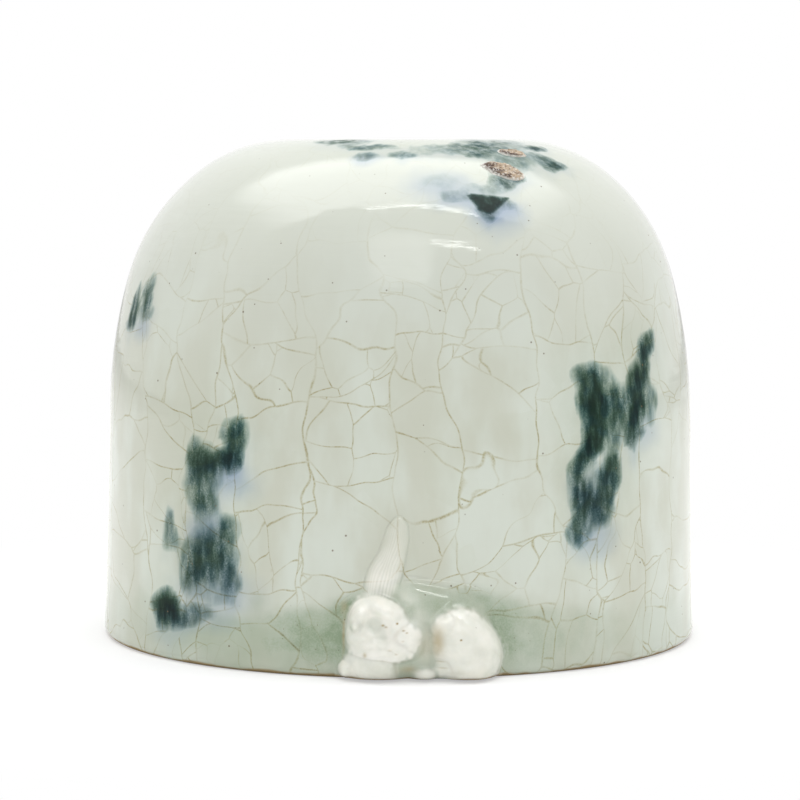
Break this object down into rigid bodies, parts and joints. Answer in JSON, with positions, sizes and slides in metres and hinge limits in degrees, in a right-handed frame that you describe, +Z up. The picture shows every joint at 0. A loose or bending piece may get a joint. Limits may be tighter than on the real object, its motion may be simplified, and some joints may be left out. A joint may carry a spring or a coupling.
{
  "type": "chinese water coupe",
  "caption": "Domed crackle-glazed ceramic water pot with a small round mouth, green brushed splashes and a crouching beast applied at the foot; holds water for an ink stone.",
  "frame": {"origin": "centre of the foot ring, on the plane that it stands on", "axes": "+Z up along the pot's axis, -Y to the front, where the beast is, +X to the right of the beast"},
  "size_m": [0.088, 0.0934, 0.0735],
  "materials": {
    "celadon_glaze": "glossy pale celadon glaze with brown crackle and dark green splashes",
    "white_glaze": "glossy creamy white glaze with iron stains",
    "kiln_grit": "rough brown grit with a glazed rim"
  },
  "bodies": {
    "root": {"vessel": "celadon_glaze", "slip_bed": "celadon_glaze", "trunk": "white_glaze", "haunch": "white_glaze", "head": "white_glaze", "muzzle": "white_glaze", "ear": "white_glaze", "tail": "white_glaze", "fore_paws": "white_glaze", "hind_paws": "white_glaze", "grit_large": "kiln_grit", "grit_small": "kiln_grit"}
  },
  "joints": []
}
